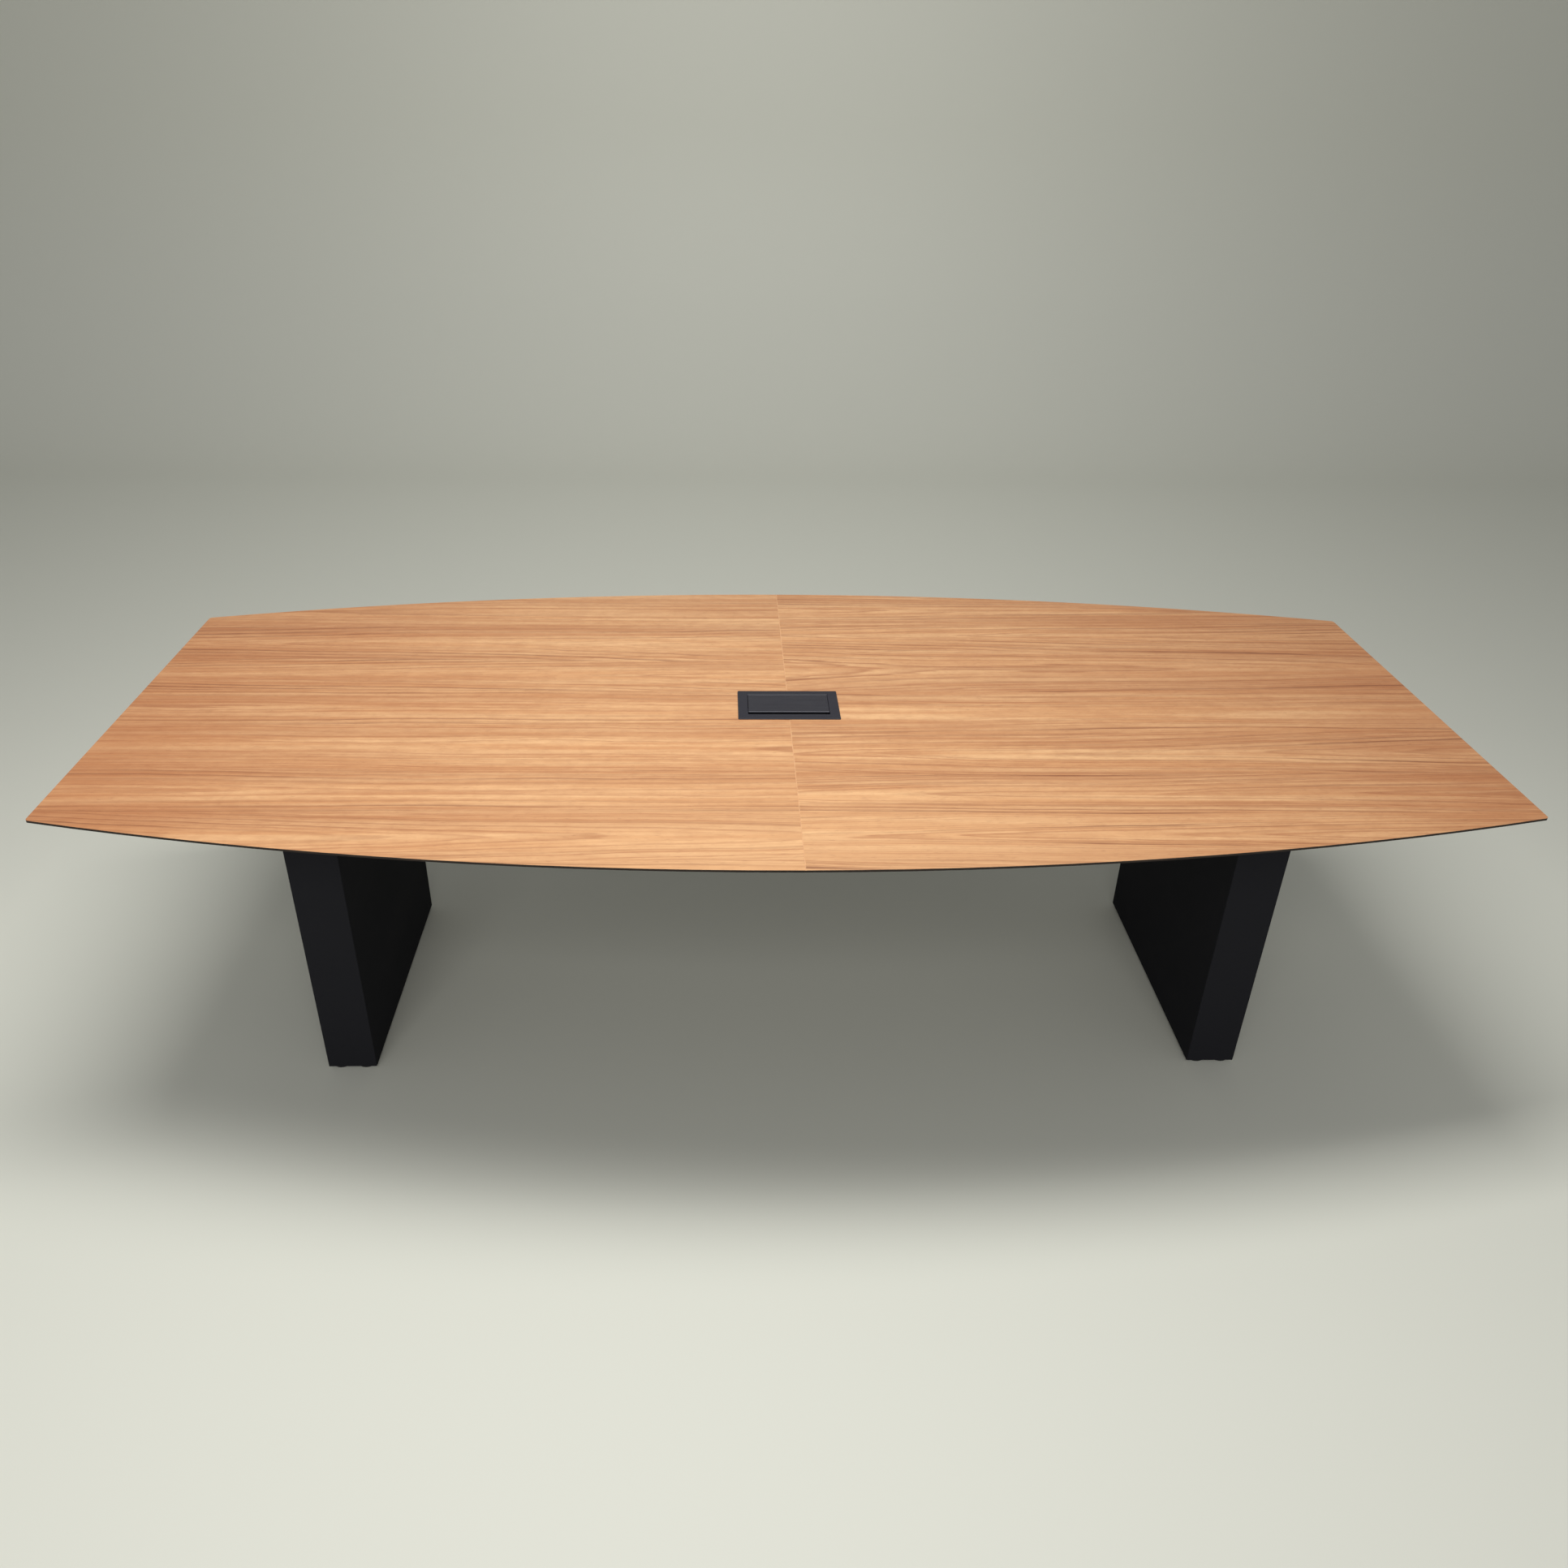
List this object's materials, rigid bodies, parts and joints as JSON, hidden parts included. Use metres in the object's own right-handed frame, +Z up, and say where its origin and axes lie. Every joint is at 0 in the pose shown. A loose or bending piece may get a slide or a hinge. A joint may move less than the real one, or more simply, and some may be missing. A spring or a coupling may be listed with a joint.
{
  "type": "meeting table",
  "caption": "Boat-shaped meeting table: wood-grain top in halves joined at a middle seam, flip-lid power box flush in the seam, black slab legs on levelling glides.",
  "frame": {"origin": "on the floor under the middle of the table", "axes": "+X along the table to the right, +Y away from the front edge, +Z up"},
  "size_m": [2.743, 1.255, 0.743],
  "materials": {
    "wood_laminate": "satin wood-grain laminate",
    "edge_board": "core board with a near-black lacquered edge",
    "backer_sheet": "dark brown balancing sheet",
    "black_board": "matt black faced board",
    "plywood": "raw plywood and beech",
    "black_steel": "fine texture black powder coat",
    "zinc_steel": "bright zinc plate",
    "glide_plastic": "moulded black nylon",
    "charcoal_metal": "charcoal anodised, faint brushing",
    "strip_metal": "grey anodised",
    "housing_steel": "black painted sheet steel",
    "module_plastic": "moulded black plastic",
    "gland_plastic": "moulded black nylon",
    "bumper_rubber": "soft black rubber"
  },
  "bodies": {
    "table": {"charge_module": "module_plastic", "clamp_brackets": "black_steel", "clamp_screws": "zinc_steel", "data_module": "module_plastic", "deck_screws": "zinc_steel", "gland_body": "gland_plastic", "gland_dome_nut": "gland_plastic", "gland_lock_nut": "gland_plastic", "glide_inserts": "zinc_steel", "housing_cap_left": "housing_steel", "housing_cap_right": "housing_steel", "housing_shell": "housing_steel", "leg_base_left": "plywood", "leg_base_right": "plywood", "leg_front_board_left": "black_board", "leg_front_board_right": "black_board", "leg_head_left": "plywood", "leg_head_right": "plywood", "leg_inner_board_left": "black_board", "leg_inner_board_right": "black_board", "leg_outer_board_left": "black_board", "leg_outer_board_right": "black_board", "leg_plate_bolts": "zinc_steel", "leg_plate_inserts": "zinc_steel", "leg_plate_left": "black_steel", "leg_plate_right": "black_steel", "leg_plate_screws": "zinc_steel", "leg_rear_board_left": "black_board", "leg_rear_board_right": "black_board", "leg_rib_left": "plywood", "leg_rib_right": "plywood", "lid_bumpers": "bumper_rubber", "lid_rear_strip": "strip_metal", "outlet_left": "module_plastic", "outlet_right": "module_plastic", "power_bezel": "charcoal_metal", "seam_dowels": "plywood", "seam_draw_nuts": "zinc_steel", "seam_draw_plates": "zinc_steel", "seam_draw_rods": "zinc_steel", "socket_deck": "housing_steel", "stiffener_front": "black_steel", "stiffener_rear": "black_steel", "stiffener_screws": "zinc_steel", "top_backer_left": "backer_sheet", "top_backer_right": "backer_sheet", "top_core_left": "edge_board", "top_core_right": "edge_board", "top_laminate_left": "wood_laminate", "top_laminate_right": "wood_laminate"},
    "lid": {"power_lid": "charcoal_metal", "lid_pivot_pins": "black_steel"},
    "glide_left_front_inner": {"glide_left_front_inner": "glide_plastic"},
    "glide_left_front_outer": {"glide_left_front_outer": "glide_plastic"},
    "glide_left_rear_inner": {"glide_left_rear_inner": "glide_plastic"},
    "glide_left_rear_outer": {"glide_left_rear_outer": "glide_plastic"},
    "glide_right_front_inner": {"glide_right_front_inner": "glide_plastic"},
    "glide_right_front_outer": {"glide_right_front_outer": "glide_plastic"},
    "glide_right_rear_inner": {"glide_right_rear_inner": "glide_plastic"},
    "glide_right_rear_outer": {"glide_right_rear_outer": "glide_plastic"}
  },
  "joints": [
    {"name": "lid_hinge", "type": "hinge", "parent": "table", "child": "lid", "pos_m": [0, 0.0318, 0.7375], "axis": [-1, 0, 0], "range_deg": [0, 100]},
    {"name": "glide_left_front_inner_screw", "type": "slide", "parent": "table", "child": "glide_left_front_inner", "axis": [0, 0, -1], "range_m": [0, 0.012]},
    {"name": "glide_left_front_outer_screw", "type": "slide", "parent": "table", "child": "glide_left_front_outer", "axis": [0, 0, -1], "range_m": [0, 0.012]},
    {"name": "glide_left_rear_inner_screw", "type": "slide", "parent": "table", "child": "glide_left_rear_inner", "axis": [0, 0, -1], "range_m": [0, 0.012]},
    {"name": "glide_left_rear_outer_screw", "type": "slide", "parent": "table", "child": "glide_left_rear_outer", "axis": [0, 0, -1], "range_m": [0, 0.012]},
    {"name": "glide_right_front_inner_screw", "type": "slide", "parent": "table", "child": "glide_right_front_inner", "axis": [0, 0, -1], "range_m": [0, 0.012]},
    {"name": "glide_right_front_outer_screw", "type": "slide", "parent": "table", "child": "glide_right_front_outer", "axis": [0, 0, -1], "range_m": [0, 0.012]},
    {"name": "glide_right_rear_inner_screw", "type": "slide", "parent": "table", "child": "glide_right_rear_inner", "axis": [0, 0, -1], "range_m": [0, 0.012]},
    {"name": "glide_right_rear_outer_screw", "type": "slide", "parent": "table", "child": "glide_right_rear_outer", "axis": [0, 0, -1], "range_m": [0, 0.012]}
  ]
}
